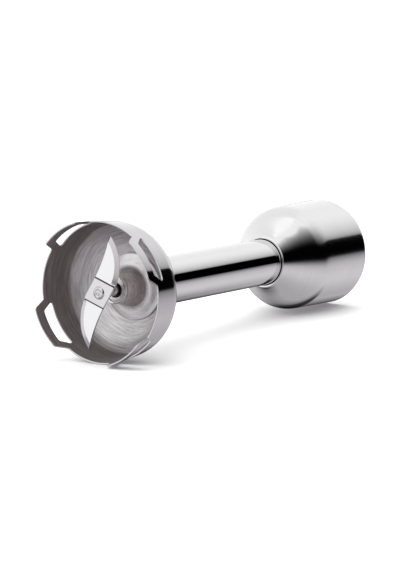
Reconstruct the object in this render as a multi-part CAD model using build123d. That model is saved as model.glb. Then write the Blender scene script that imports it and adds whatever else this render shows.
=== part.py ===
"""Blending shaft of an immersion blender: blade guard, tube, coupling and drive line.

The shaft lies along Y. The origin is on the shaft's axis, in the mouth of the socket
that the motor handle plugs into. The blade end points to -Y and +Z is up.
Lengths along the shaft are stations, counted in millimetres from the low rim of the guard.
"""

import os
from math import cos, radians, sin

from build123d import *

# Whole shaft
MOUTH = 187.4  # station of the socket's mouth, which is the origin
SHEET = 0.8  # sheet steel of guard, tube and coupling
FIT = 0.05  # radial running clearance
STEP = 0.3  # gap that is only there to keep pieces apart

# Blade guard
RIM_R = 32.5
FLARE = 0.09  # growth of the wall's radius per millimetre towards the food
WALL_TOP = 12.8  # station where the straight wall turns into the dome
DOME_TOP = 27.3
DOME_SIDE_REACH = 9.0
DOME_CROWN_REACH = 8.7
TAB_COUNT = 4
TAB_ANGLE = 57.0  # centre of the first tab, from -X towards +Z
TAB_REACH = 6.6
TAB_BASE_HALF = 23.2  # degrees
TAB_TIP_HALF = 17.3
TAB_CORNER = 1.7
TAB_ROOT = 1.2
WINDOW_NEAR = -1.2  # station of the window's edge by the tab's tip
WINDOW_FAR = 5.2
WINDOW_NEAR_HALF = 14.0  # degrees
WINDOW_FAR_HALF = 20.8
WINDOW_CORNER = 1.0

# Tube
TUBE_R = 11.15
TUBE_START = 26.1
TUBE_END = 140.0
GUIDE_STATIONS = (66.0, 100.0)
GUIDE_LENGTH = 6.0
GUIDE_HOLES = 6
GUIDE_HOLE_CIRCLE_R = 6.6
GUIDE_HOLE = (3.4, 2.4)  # length and width of each slot through a guide

# Hub in the guard, which holds the seal and the lower bush
HUB_FRONT = 11.2
HUB_FRONT_R = 6.6
HUB_ROOT_R = 8.2
HUB_ROOT = 22.4  # station where the taper ends and the fillet into the dish starts
DISH_R = 15.4
DISH_BACK = 26.05
DISH_THICK = 0.9
SPIGOT_END = 30.0
SEAL_POCKET_R = 5.6
SEAL_POCKET_END = 16.0
BUSH_R = 4.9
BUSH_END = 26.0
BUSH_CLIP_R = 3.7
WASHER_R = 4.5
WASHER_THICK = 0.7

# Coupling housing
LIP = 133.2
LIP_GAP = 0.4
CONE_HANDLE = 141.2  # handle of the curve that leaves the lip
CONE_HANDLE_R = 16.6
SHOULDER = 153.2
SHOULDER_R = 25.3
SHOULDER_REACH = 7.2
WALL_SLOPE = 0.018
HOUSING_END = 186.6

# Bearing carrier and ball bearing
CARRIER_FLANGE = 150.6
CARRIER_FLANGE_END = 153.4
CARRIER_SPIGOT = 10.0  # how far it reaches into the tube
CARRIER_BORE_R = 6.0
BEARING_START = 143.0
BEARING_WIDTH = 5.0
BEARING_R = 8.0
BALL_COUNT = 8
BALL_R = 1.5
BALL_CIRCLE_R = 5.3
OUTER_LAND_R = 6.5
INNER_LAND_R = 4.1
CAGE_INNER_R = 4.7
CAGE_OUTER_R = 5.9
CLIP_THICK = 0.7
CLIP_DEPTH = 0.6  # depth of a clip's groove in a plastic or bronze seat

# Handle socket
SOCKET_R = 21.5
SOCKET_FLOOR = 168.3
FLOOR_THICK = 4.0
INSERT_R = 24.2
WELL_R = 11.0
SLOT_COUNT = 3
SLOT_R = 23.0
SLOT_WIDTH = 8.0
SLOT_TURN = 26.0  # degrees of twist that lock the handle
LOCK_START = 173.0
LOCK_LENGTH = 6.5
SCREW_CIRCLE_R = 16.0
SCREW_R = 1.2
SCREW_HEAD_R = 2.7
SCREW_HEAD = 1.6
SINK_R = 3.1
SINK_DEPTH = 1.9
BOSS_R = 3.2
CROSS = (2.8, 0.6)  # length and width of the slots in a screw's head

# Drive line
SHAFT_R = 2.5
SHAFT_START = 2.6
SHAFT_END = 157.0
SPIGOT_R = 2.0
SPIGOT_FLAT = 1.6  # from the axis to each flat of the blade's seat
CORE_R = 1.2
CORE_END = 8.0
DOG_START = 150.2
DOG_HUB_R = 6.0
DOG_CUP = 157.2
DOG_CUP_R = 8.0
DOG_SOCKET_R = 6.0
DOG_END = 168.0
DOG_RIBS = 6
DOG_RIB = (1.6, 2.4)  # width and height of each rib
DOG_PIN_R = 1.0
DOG_PIN_STATION = 153.6
SHAFT_GROOVE = 0.4
SHAFT_CLIP_R = 4.2
SHAFT_CLIP_STATIONS = (BUSH_END + 1.7, BEARING_START + BEARING_WIDTH)
COLLAR_R = 3.8

# Blade
BLADE_FRONT = -0.5
BLADE_THICK = 1.1
BLADE_TURN = -20.0  # degrees from +X to the bend lines, seen from the open end
BEND_REACH = 5.8  # from the axis to each bend line
BEND = 9.0  # degrees between the flat centre and each wing
TIP = (-5.4, 25.6)
LEADING_START = (6.9, BEND_REACH)
LEADING_MIDDLE = (4.1, 16.9)
TRAILING_START = (-4.4, BEND_REACH)
TRAILING_MIDDLE = (-4.05, 13.0)
GRIND_WIDTH = 2.2
GRIND_DEPTH = 0.85
RIVET_R = 2.95
RIVET_RIM = 0.3
RIVET_CROWN = 0.75


def y(station):
    """Place along the shaft, in the part's own frame."""
    return station - MOUTH


def turned(*lines):
    """Solid of revolution about the shaft's axis, from a closed outline of (radius, y) lines."""
    return revolve(make_face(Curve() + [*lines]), Axis.Y)


def turned_points(points):
    return turned(Polyline(*[(r, y(s)) for r, s in points], close=True))


def ring(inner, outer, start, end):
    """Plain ring between two stations, or a disc where the inner radius is 0."""
    return turned_points([(inner, start), (outer, start), (outer, end), (inner, end)])


def facing(angle, station=0.0, radius=0.0):
    """Plane that faces outwards at an angle from -X towards +Z, with its x axis round the
    shaft and its y axis along it."""
    out = Vector(-cos(radians(angle)), 0, sin(radians(angle)))
    return Plane(
        origin=Vector(0, y(station), 0) + out * radius,
        x_dir=Vector(0, 1, 0).cross(out),
        z_dir=out,
    )


def cross_plane(station):
    """Plane across the shaft that faces the open end, with its x axis to +X."""
    return Plane(origin=(0, y(station), 0), x_dir=(1, 0, 0), z_dir=(0, -1, 0))


def wall_r(station):
    """Outer radius of the guard's straight wall."""
    return RIM_R - FLARE * station


def guard_shell():
    """Wall and dome of the guard before its rim is cut."""

    def side(inset):
        start = -TAB_REACH
        top = y(DOME_TOP - inset)
        shoulder = (wall_r(WALL_TOP) - inset, y(WALL_TOP))
        wall = Line((wall_r(start) - inset, y(start)), shoulder)
        dome = Bezier(
            shoulder,
            (shoulder[0] - FLARE * DOME_SIDE_REACH, shoulder[1] + DOME_SIDE_REACH),
            (TUBE_R + DOME_CROWN_REACH, top),
            (TUBE_R, top),
        )
        return wall, dome

    outer, inner = side(0), side(SHEET)
    start = Line(inner[0] @ 0, outer[0] @ 0)
    hole = Line(outer[1] @ 1, inner[1] @ 1)
    return turned(start, *outer, hole, *inner)


def half_width(half_angle, station):
    return wall_r(station) * sin(radians(half_angle))


def rim_gap(angle):
    """Tool that cuts the rim down to the low edge between two tabs."""
    spread = 45
    root = half_width(spread - TAB_BASE_HALF, 0)
    tip = half_width(spread - TAB_TIP_HALF, -TAB_REACH)
    far = 30.0
    beyond = -TAB_REACH - 5
    outline = Polyline(
        (-root, 0), (root, 0), (tip, -TAB_REACH), (far, -TAB_REACH), (far, beyond),
        (-far, beyond), (-far, -TAB_REACH), (-tip, -TAB_REACH), close=True,
    )
    face = make_face(outline)
    roots = face.vertices().group_by(Axis.Y)[-1]
    face = fillet(roots, TAB_ROOT)
    tips = [v for v in face.vertices() if abs(v.Y + TAB_REACH) < 0.01 and abs(v.X) < far - 1]
    face = fillet(tips, TAB_CORNER)
    return extrude(facing(angle) * face, 60)


def window(angle):
    """Tool that cuts the window in one tab."""
    near = half_width(WINDOW_NEAR_HALF, WINDOW_NEAR)
    far = half_width(WINDOW_FAR_HALF, WINDOW_FAR)
    outline = Polyline(
        (-near, WINDOW_NEAR), (near, WINDOW_NEAR), (far, WINDOW_FAR), (-far, WINDOW_FAR),
        close=True,
    )
    face = make_face(outline)
    return extrude(facing(angle) * fillet(face.vertices(), WINDOW_CORNER), 60)


def blade_guard():
    guard = guard_shell()
    for i in range(TAB_COUNT):
        angle = TAB_ANGLE + i * 360 / TAB_COUNT
        guard -= window(angle)
        guard -= rim_gap(angle + 180 / TAB_COUNT)
    return guard


def bearing_hub():
    """Turned hub: tapered boss, dish against the guard and spigot in the tube."""
    dish = DISH_BACK - DISH_THICK
    bore = BUSH_R
    deep = bore + 0.5
    groove = BUSH_END + 0.1
    front = HUB_FRONT_R
    lip = 0.5
    return turned(
        Polyline(
            (SEAL_POCKET_R, y(HUB_FRONT + lip)), (front - 2 * lip, y(HUB_FRONT)),
            (front - lip, y(HUB_FRONT)), (front, y(HUB_FRONT + lip)),
            (HUB_ROOT_R, y(HUB_ROOT)),
        ),
        Bezier(
            (HUB_ROOT_R, y(HUB_ROOT)), (HUB_ROOT_R + 0.3, y(dish - 0.6)),
            (HUB_ROOT_R + 1.5, y(dish)), (DISH_R - 3.4, y(dish)),
        ),
        Polyline(
            (DISH_R - 3.4, y(dish)), (DISH_R, y(dish)), (DISH_R, y(DISH_BACK)),
            (TUBE_R - SHEET, y(DISH_BACK)), (TUBE_R - SHEET, y(SPIGOT_END)),
            (bore, y(SPIGOT_END)), (bore, y(groove + CLIP_THICK)),
            (deep, y(groove + CLIP_THICK)), (deep, y(groove)),
            (bore, y(groove)), (bore, y(SEAL_POCKET_END)),
            (SEAL_POCKET_R, y(SEAL_POCKET_END)), (SEAL_POCKET_R, y(HUB_FRONT + lip)),
        ),
    )


def seal_cap():
    """Steel washer that keeps the lip seal in the hub, coned towards the shaft."""
    start = HUB_FRONT + 0.7
    return turned_points([
        (4.1, start), (SEAL_POCKET_R, start), (SEAL_POCKET_R, start + 1.4),
        (3.5, start + 1.4), (3.5, start + 0.7),
    ])


def lip_seal():
    """Rubber seal with a wiping lip at each end of its inside."""
    start = HUB_FRONT + 2.2
    end = SEAL_POCKET_END - 0.1
    lip = SHAFT_R + FIT
    hollow = SHAFT_R + 0.9
    middle = (start + end) / 2
    return turned_points([
        (lip, start), (SEAL_POCKET_R - 0.02, start), (SEAL_POCKET_R - 0.02, end),
        (lip, end), (lip, end - 0.3), (hollow, middle), (lip, start + 0.3),
    ])


def lower_bush():
    return ring(SHAFT_R + FIT, BUSH_R, SEAL_POCKET_END, BUSH_END)


def open_clip(inner, outer, station, gap_width, angle):
    """Retaining ring, open on one side."""
    clip = ring(inner, outer, station, station + CLIP_THICK)
    slit = facing(angle, station) * Box(gap_width, 4 * CLIP_THICK, 4 * outer)
    half = facing(angle, station, 2 * outer) * Box(gap_width, 4 * CLIP_THICK, 4 * outer)
    return clip - (slit & half)


def bush_clip():
    return open_clip(BUSH_CLIP_R, BUSH_R + 0.45, BUSH_END + 0.1, 3.0, 270)


def shaft_tube():
    return ring(TUBE_R - SHEET, TUBE_R, TUBE_START, TUBE_END)


def tube_guides():
    """Spoked plastic discs that keep the long shaft from whipping."""
    slot = Pos(GUIDE_HOLE_CIRCLE_R, 0) * SlotOverall(*GUIDE_HOLE, rotation=90)
    guides = []
    for station in GUIDE_STATIONS:
        end = station + GUIDE_LENGTH
        guide = ring(SHAFT_R + STEP, TUBE_R - SHEET, station, end)
        for i in range(GUIDE_HOLES):
            hole = Rot(0, 0, i * 360 / GUIDE_HOLES) * slot
            guide -= extrude(cross_plane(end) * hole, GUIDE_LENGTH)
        guides.append(guide)
    return Compound(children=guides)


def coupling_housing():
    """Drawn sheet: lip round the tube, soft cone, round shoulder, slightly conical wall."""

    def side(inset):
        lip = (TUBE_R + LIP_GAP + SHEET - inset, y(LIP))
        shoulder = (SHOULDER_R - inset, y(SHOULDER))
        length = HOUSING_END - SHOULDER
        mouth = (shoulder[0] + WALL_SLOPE * length, y(HOUSING_END))
        dome = Bezier(
            lip,
            (CONE_HANDLE_R - inset, y(CONE_HANDLE)),
            (shoulder[0] - WALL_SLOPE * SHOULDER_REACH, y(SHOULDER - SHOULDER_REACH)),
            shoulder,
        )
        return dome, Line(shoulder, mouth)

    outer, inner = side(0), side(SHEET)
    return turned(
        *outer, *inner, Line(outer[0] @ 0, inner[0] @ 0), Line(outer[1] @ 1, inner[1] @ 1)
    )


def bearing_carrier():
    """Plastic hub that joins tube and coupling and seats the ball bearing."""
    inside_tube = TUBE_R - SHEET
    seat_end = BEARING_START + BEARING_WIDTH
    groove = seat_end + 0.1
    spigot = TUBE_END - CARRIER_SPIGOT
    deep = BEARING_R + CLIP_DEPTH
    bevel = 1.6
    carrier = turned_points([
        (CARRIER_BORE_R, spigot), (inside_tube, spigot), (inside_tube, TUBE_END),
        (TUBE_R, TUBE_END), (TUBE_R + 1, BEARING_START + 2), (TUBE_R + 2, CARRIER_FLANGE),
        (INSERT_R - bevel, CARRIER_FLANGE), (INSERT_R, CARRIER_FLANGE + bevel),
        (INSERT_R, CARRIER_FLANGE_END), (BEARING_R, CARRIER_FLANGE_END),
        (BEARING_R, groove + CLIP_THICK), (deep, groove + CLIP_THICK),
        (deep, groove), (BEARING_R, groove), (BEARING_R, BEARING_START),
        (CARRIER_BORE_R, BEARING_START),
    ])
    for i in range(SLOT_COUNT):
        carrier -= screw_hole(i)
    return carrier


def screw_plane(i, station):
    """Plane across the shaft at one screw, facing the socket's mouth."""
    place = facing(i * 360 / SLOT_COUNT + 30, station, SCREW_CIRCLE_R)
    return Plane(origin=place.origin, z_dir=(0, 1, 0))


def screw_hole(i):
    """Hole for one screw's thread, from the socket's floor through the carrier's flange."""
    deep = SOCKET_FLOOR - CARRIER_FLANGE + 1
    return extrude(screw_plane(i, SOCKET_FLOOR) * Circle(SCREW_R), -deep)


def insert_screws():
    """Three cross-headed screws, sunk in the socket's floor, that reach into the carrier."""
    seat = SOCKET_FLOOR - SINK_DEPTH
    length = seat - CARRIER_FLANGE - 0.6
    slots = Box(CROSS[0], CROSS[1], 2) + Box(CROSS[1], CROSS[0], 2)
    screws = []
    for i in range(SLOT_COUNT):
        plane = screw_plane(i, seat)
        head = extrude(plane * Circle(SCREW_HEAD_R), SCREW_HEAD)
        head = fillet(head.edges().sort_by(Axis.Y)[-1], 0.6)
        thread = extrude(plane * Circle(SCREW_R), -length)
        screws.append(head + thread - plane * Pos(0, 0, SCREW_HEAD) * slots)
    return Compound(children=screws)


def coupling_insert():
    """Plastic socket for the motor handle, with bayonet slots in its wall."""
    floor_start = SOCKET_FLOOR - FLOOR_THICK
    flange = SHOULDER_R + 0.2
    insert = turned_points([
        (INSERT_R, CARRIER_FLANGE_END), (INSERT_R, HOUSING_END), (flange, HOUSING_END),
        (flange, MOUTH), (SOCKET_R + 0.5, MOUTH), (SOCKET_R, MOUTH - 0.5),
        (SOCKET_R, SOCKET_FLOOR), (WELL_R, SOCKET_FLOOR), (WELL_R, floor_start),
        (SOCKET_R + 1, floor_start), (SOCKET_R + 1, CARRIER_FLANGE_END),
    ])
    for i in range(SLOT_COUNT):
        insert -= bayonet_slot(i * 360 / SLOT_COUNT)
        boss = screw_plane(i, floor_start) * Circle(BOSS_R)
        insert += extrude(boss, CARRIER_FLANGE_END - floor_start)
    for i in range(SLOT_COUNT):
        insert -= screw_hole(i)
        insert -= extrude(screw_plane(i, SOCKET_FLOOR) * Circle(SINK_R), -SINK_DEPTH)
    return insert


def bayonet_slot(angle):
    """Way in for one lug of the handle, and the turn that locks it."""
    inner = SOCKET_R - 1
    start = y(LOCK_START)
    end = y(LOCK_START + LOCK_LENGTH)
    half = facing(angle, LOCK_START, 2 * SLOT_R) * Box(SLOT_WIDTH, 2 * MOUTH, 4 * SLOT_R)
    straight = half & ring(0, SLOT_R, LOCK_START, MOUTH + 1)
    section = Polyline((inner, start), (SLOT_R, start), (SLOT_R, end), (inner, end), close=True)
    turn = revolve(make_face(section), Axis.Y, SLOT_TURN)
    return straight + Rot(0, angle + 180, 0) * turn


def bearing_outer_race():
    return race(BEARING_R, OUTER_LAND_R)


def bearing_inner_race():
    return race(SHAFT_R, INNER_LAND_R)


def race(seat, land):
    """Ring of the ball bearing with its groove, seated at one radius, open at the other."""
    plain = ring(
        min(seat, land), max(seat, land), BEARING_START, BEARING_START + BEARING_WIDTH
    )
    groove_r = BALL_R + FIT
    middle = BEARING_START + BEARING_WIDTH / 2
    circle = Pos(BALL_CIRCLE_R, y(middle)) * Circle(groove_r)
    return plain - revolve(circle, Axis.Y)


def ball_places():
    middle = BEARING_START + BEARING_WIDTH / 2
    return [facing(i * 360 / BALL_COUNT, middle, BALL_CIRCLE_R) for i in range(BALL_COUNT)]


def bearing_balls():
    return Compound(children=[place * Sphere(BALL_R) for place in ball_places()])


def bearing_cage():
    """Crown that spaces the balls, closed on the side of the handle, just clear of them."""
    middle = BEARING_START + BEARING_WIDTH / 2
    cage = ring(CAGE_INNER_R, CAGE_OUTER_R, middle - 1.0, middle + BALL_R + 0.5)
    for place in ball_places():
        cage -= place * Sphere(BALL_R + FIT)
    return cage


def bearing_clip():
    station = BEARING_START + BEARING_WIDTH + 0.1
    return open_clip(6.8, BEARING_R + 0.55, station, 4.0, 90)


def drive_shaft():
    """Steel rod with a flatted spigot for the blade and grooves for its clips."""
    bevel = 0.4
    shaft = turned_points([
        (0, CORE_END), (CORE_R, CORE_END), (CORE_R, BLADE_FRONT), (SPIGOT_R, BLADE_FRONT),
        (SPIGOT_R, SHAFT_START), (SHAFT_R, SHAFT_START), (SHAFT_R, SHAFT_END - bevel),
        (SHAFT_R - bevel, SHAFT_END), (0, SHAFT_END),
    ])
    for start in SHAFT_CLIP_STATIONS:
        shaft -= ring(SHAFT_R - SHAFT_GROOVE, SHAFT_R + 1, start, start + CLIP_THICK)
    shaft -= spigot_flats(BLADE_FRONT - 1, SHAFT_START)
    shaft -= dog_pin_hole()
    return shaft


def spigot_flats(start, end):
    """Two blocks that leave the shaft's end with flats, as its blade has."""
    length = end - start
    width = 4.0
    block = Box(width, length, 4 * SHAFT_R)
    aside = Pos(SPIGOT_FLAT + width / 2, 0, 0)
    turn = Pos(0, y((start + end) / 2), 0) * Rot(0, -BLADE_TURN, 0)
    return turn * aside * block + turn * aside.inverse() * block


def blade_hole(start, end):
    return ring(0, SPIGOT_R, start, end) - spigot_flats(start, end)


def shaft_clips():
    inner = SHAFT_R - SHAFT_GROOVE
    clips = [open_clip(inner, SHAFT_CLIP_R, s, 2.4, 0) for s in SHAFT_CLIP_STATIONS]
    return Compound(children=clips)


def thrust_washer():
    end = SHAFT_CLIP_STATIONS[0]
    return ring(SHAFT_R, WASHER_R, end - WASHER_THICK, end)


def dog_pin_hole():
    return Pos(0, y(DOG_PIN_STATION), 0) * Cylinder(DOG_PIN_R, 2 * DOG_HUB_R - 1)


def drive_dog():
    """Plastic coupling that the motor's splined spindle drives."""
    dog = turned_points([
        (SHAFT_R, DOG_START), (DOG_HUB_R, DOG_START), (DOG_HUB_R, DOG_CUP - 1),
        (DOG_CUP_R, DOG_CUP + 1), (DOG_CUP_R, DOG_END - 0.6), (DOG_CUP_R - 0.6, DOG_END),
        (DOG_SOCKET_R + 0.6, DOG_END), (DOG_SOCKET_R, DOG_END - 0.6),
        (DOG_SOCKET_R, DOG_CUP + 1), (0, DOG_CUP + 1), (0, SHAFT_END + STEP),
        (SHAFT_R, SHAFT_END + STEP),
    ])
    rib_height = DOG_END - DOG_CUP - 3
    for i in range(DOG_RIBS):
        rib = facing(i * 360 / DOG_RIBS, DOG_CUP + 1 + rib_height / 2, DOG_SOCKET_R + 0.2)
        dog += rib * Box(DOG_RIB[0], rib_height, DOG_RIB[1])
    return dog - dog_pin_hole()


def dog_pin():
    return dog_pin_hole()


def blade_collar():
    return ring(0, COLLAR_R, BLADE_FRONT + BLADE_THICK, SHAFT_START) - blade_hole(0, SHAFT_START)


def blade_rivet():
    """Pin in the shaft's core with a low domed head over the blade."""
    rim = (RIVET_R, y(BLADE_FRONT - RIVET_RIM))
    crown = (0, y(BLADE_FRONT - RIVET_CROWN))
    return turned(
        Polyline(
            crown, (0, y(CORE_END)), (CORE_R, y(CORE_END)), (CORE_R, y(BLADE_FRONT)),
            (RIVET_R, y(BLADE_FRONT)), rim,
        ),
        TangentArc(crown, rim, tangent=(1, 0)),
    )


def blade_wing(bend):
    """One wing in the blade's plane, ground on its round leading edge and then bent."""
    outline = Curve() + [
        Line(TRAILING_START, LEADING_START),
        ThreePointArc(LEADING_START, LEADING_MIDDLE, TIP),
        ThreePointArc(TIP, TRAILING_MIDDLE, TRAILING_START),
    ]
    flat = extrude(make_face(outline), BLADE_THICK / 2, both=True)
    front = flat.edges().filter_by(GeomType.CIRCLE).group_by(Axis.Z)[-1]
    leading = front.sort_by(Edge.length)[-1]
    top = flat.faces().sort_by(Axis.Z)[-1]
    flat = chamfer(leading, GRIND_WIDTH, GRIND_DEPTH, reference=top)
    hinge = Pos(0, BEND_REACH, 0)
    return hinge * Rot(bend, 0, 0) * hinge.inverse() * flat


def blade():
    """Flat centre with two wings, one bent towards the hub and one away from it."""
    middle = make_face(Curve() + [
        Line(TRAILING_START, LEADING_START),
        Line(LEADING_START, (-TRAILING_START[0], -TRAILING_START[1])),
        Line((-TRAILING_START[0], -TRAILING_START[1]), (-LEADING_START[0], -LEADING_START[1])),
        Line((-LEADING_START[0], -LEADING_START[1]), TRAILING_START),
    ])
    plate = extrude(middle, BLADE_THICK / 2, both=True)
    knuckle_length = LEADING_START[0] - TRAILING_START[0] - 0.4
    knuckle_middle = (LEADING_START[0] + TRAILING_START[0]) / 2
    knuckle = Pos(knuckle_middle, BEND_REACH, 0) * Rot(0, 90, 0) * Cylinder(
        BLADE_THICK / 2, knuckle_length
    )
    half_turn = Rot(0, 0, 180)
    plate += blade_wing(-BEND) + half_turn * blade_wing(BEND)
    plate += knuckle + half_turn * knuckle
    centre = BLADE_FRONT + BLADE_THICK / 2
    placed = cross_plane(centre) * Rot(0, 0, BLADE_TURN) * plate
    return placed - blade_hole(BLADE_FRONT - 1, BLADE_FRONT + BLADE_THICK + 1)


PIECES = [
    blade_guard, bearing_hub, seal_cap, lip_seal, lower_bush, bush_clip, shaft_tube,
    tube_guides, coupling_housing, bearing_carrier, bearing_outer_race, bearing_clip,
    coupling_insert, insert_screws, bearing_balls, bearing_cage, bearing_inner_race,
    drive_shaft, shaft_clips, thrust_washer, drive_dog, dog_pin, blade_collar,
    blade_rivet, blade,
]

os.makedirs("parts", exist_ok=True)
for piece in PIECES:
    solid = piece()
    export_step(solid, f"parts/{piece.__name__}.step")
    print(piece.__name__, len(solid.solids()), round(solid.volume, 1))
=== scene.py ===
"""Looks of the blending shaft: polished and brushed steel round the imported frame.

The shaft lies along Y with its blade end to -Y. Profiles are (station, radius) in
millimetres, where a station counts along the shaft from the guard's low rim.
"""

from math import asin, atan2, cos, hypot, pi, radians, sin, sqrt, tan

import bmesh
import bpy
import numpy as np
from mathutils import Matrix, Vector
from mathutils.geometry import delaunay_2d_cdt


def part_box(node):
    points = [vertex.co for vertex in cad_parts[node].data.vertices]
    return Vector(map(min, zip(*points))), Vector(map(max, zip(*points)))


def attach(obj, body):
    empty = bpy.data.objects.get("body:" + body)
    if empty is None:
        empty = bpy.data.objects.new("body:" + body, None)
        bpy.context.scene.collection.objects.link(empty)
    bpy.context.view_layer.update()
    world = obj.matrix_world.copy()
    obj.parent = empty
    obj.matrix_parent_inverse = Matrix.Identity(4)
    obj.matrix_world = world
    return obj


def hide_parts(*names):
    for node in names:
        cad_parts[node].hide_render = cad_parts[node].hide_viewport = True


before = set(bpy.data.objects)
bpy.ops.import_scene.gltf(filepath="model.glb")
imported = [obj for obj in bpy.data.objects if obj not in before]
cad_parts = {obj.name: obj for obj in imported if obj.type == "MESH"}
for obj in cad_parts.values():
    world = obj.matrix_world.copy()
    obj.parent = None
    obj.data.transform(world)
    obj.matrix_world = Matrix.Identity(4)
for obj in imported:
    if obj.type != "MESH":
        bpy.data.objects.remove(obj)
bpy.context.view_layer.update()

MM = 0.001
SHEET = 0.8  # thickness of the drawn steel
TAB_REACH = 6.6  # from the guard's rim to the ends of its tabs
GUARD_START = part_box("blade_guard")[0].y
RIM_Y = GUARD_START + TAB_REACH * MM
TUBE_R = (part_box("shaft_tube")[1].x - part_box("shaft_tube")[0].x) / 2 / MM
AXIS_R = 1e-4  # a profile point on the axis becomes a ring this small

# Guard. Half widths are in degrees round the shaft.
RIM_R = 32.5
FLARE = 0.09  # how much the wall's radius shrinks per millimetre
WALL_TOP = 12.8
DOME_TOP = 27.3
DOME_HANDLES = (9.0, 8.7)  # how far the dome's curve is pulled at the wall and at the tube
PAINTED_LIGHT_START = 16.0  # the inside is painted lighter from here on, and darker before it as painted shade
TAB_COUNT = 4
TAB_ANGLE = 57.0  # middle of the first tab, in degrees from -X towards +Z
TAB_BASE_HALF = 23.2
TAB_TIP_HALF = 17.3
TAB_CORNER = 1.7
TAB_ROOT = 1.2
WINDOW_NEAR = -1.2
WINDOW_FAR = 5.2
WINDOW_NEAR_HALF = 14.0
WINDOW_FAR_HALF = 20.8
WINDOW_CORNER = 1.0
EDGE_ROUND = 0.2

# Guard's mesh
GRID_START = -5.6
GRID_TOP = 8.0  # the cut-out part of the wall ends here
GRID_STEP = 1.3
GRID_CLEAR = 0.45  # least distance of a grid point from an edge
SECTOR_STEPS = 60
SIDE_POINTS = 8
DOME_STEPS = 40
ROUND_STEPS = 4
EDGE_SPACING = 0.8

# Blade. Points are (u, w), with u across a wing and w along it.
BLADE_FRONT = -0.5
BLADE_THICK = 1.1
BLADE_TURN = -20.0
BLADE_EDGE = 0.12  # small bevel on its edges
BEND_REACH = 5.8
BEND = 9.0
BEND_RUN = 0.5  # length of the bend
CREASE_DEPTH = 0.12
CREASE_HALF = 0.3
TIP = (-5.4, 25.6)
LEADING = ((6.9, BEND_REACH), (4.1, 16.9), TIP)
TRAILING = ((-4.4, BEND_REACH), (-4.05, 13.0), TIP)
GRIND_WIDTH = 2.2
GRIND_DEPTH = 0.85
GRIND_START = 0.9  # the ground bevel is full from this far beyond the bend
NOTCH = 0.7  # cut at the root of the ground edge
FRONT_POINTS = 7
GRIND_POINTS = 6

# Hub
HUB_LIP = 12.5  # end of the bright lip
HUB_DISH = 24.2  # start of the dish round the hub
DISH_FLOOR = 25.15

# Tube and coupling housing
TUBE_START = 26.1
TUBE_END = 140.0
HOUSING_START = 133.2
SHOULDER = 153.2
SHOULDER_R = 25.3
SHOULDER_HANDLE = 7.2
SHOULDER_SOFT = 3.0  # the bend at the shoulder spreads this far each way
HOUSING_END = 186.6
HOUSING_FLARE = 0.018


def place(station, radius, angle):
    """Point on a circle round the shaft, at an angle from -X towards +Z, in metres."""
    return Vector((-radius * cos(angle) * MM, RIM_Y + station * MM, radius * sin(angle) * MM))


def finish_mesh(name, verts, faces, normals=None, indices=None):
    mesh = bpy.data.meshes.new(name)
    mesh.from_pydata(verts, [], faces)
    if indices is not None:
        mesh.polygons.foreach_set("material_index", indices)
    mesh.polygons.foreach_set("use_smooth", [True] * len(mesh.polygons))
    mesh.update()
    if normals is not None:
        mesh.normals_split_custom_set_from_vertices(normals)
    piece = bpy.data.objects.new(name, mesh)
    bpy.context.scene.collection.objects.link(piece)
    return piece


def mark_sharp(mesh, angle):
    """Edges that turn by more than the angle stay crisp."""
    limit = cos(radians(angle))
    normals = [p.normal.copy() for p in mesh.polygons]
    by_edge = {}
    for p in mesh.polygons:
        for key in p.edge_keys:
            by_edge.setdefault(key, []).append(p.index)
    for edge in mesh.edges:
        owners = by_edge.get(tuple(sorted(edge.vertices)), [])
        if len(owners) == 2 and normals[owners[0]].dot(normals[owners[1]]) < limit:
            edge.use_edge_sharp = True


def weld(mesh):
    """Joins points that coincide and turns all faces outwards."""
    bm = bmesh.new()
    bm.from_mesh(mesh)
    bmesh.ops.remove_doubles(bm, verts=bm.verts, dist=2e-6)
    bmesh.ops.recalc_face_normals(bm, faces=bm.faces)
    bm.to_mesh(mesh)
    bm.free()


def dress(piece, body, node, slot, *materials):
    """Gives a piece its materials and body, and hides the CAD node that it stands for. slot is not
    used.
    """
    for material in materials:
        piece.data.materials.append(material)
    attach(piece, body)
    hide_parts(node)


# ---------------------------------------------------------------- outlines

def bezier(points, steps):
    """Curve with four control points."""
    p = [np.array(q, float) for q in points]
    rows = []
    for t in np.linspace(0, 1, steps + 1):
        u = 1 - t
        rows.append(u**3 * p[0] + 3 * u * u * t * p[1] + 3 * u * t * t * p[2] + t**3 * p[3])
    return [tuple(r) for r in rows]


def circle_through(a, b, c):
    """Centre and radius of the circle through three points."""
    (ax, ay), (bx, by), (cx, cy) = a, b, c
    d = 2 * (ax * (by - cy) + bx * (cy - ay) + cx * (ay - by))
    a2, b2, c2 = ax * ax + ay * ay, bx * bx + by * by, cx * cx + cy * cy
    ux = (a2 * (by - cy) + b2 * (cy - ay) + c2 * (ay - by)) / d
    uy = (a2 * (cx - bx) + b2 * (ax - cx) + c2 * (bx - ax)) / d
    return (ux, uy), hypot(ax - ux, ay - uy)


def arc_through(a, b, c, steps):
    """Points of the circle through a, b and c, the short way from a to c."""
    (x, y), r = circle_through(a, b, c)
    start, end = atan2(a[1] - y, a[0] - x), atan2(c[1] - y, c[0] - x)
    turn = (end - start + pi) % (2 * pi) - pi
    angles = [start + turn * i / steps for i in range(steps + 1)]
    return [(x + r * cos(t), y + r * sin(t)) for t in angles]


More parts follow.
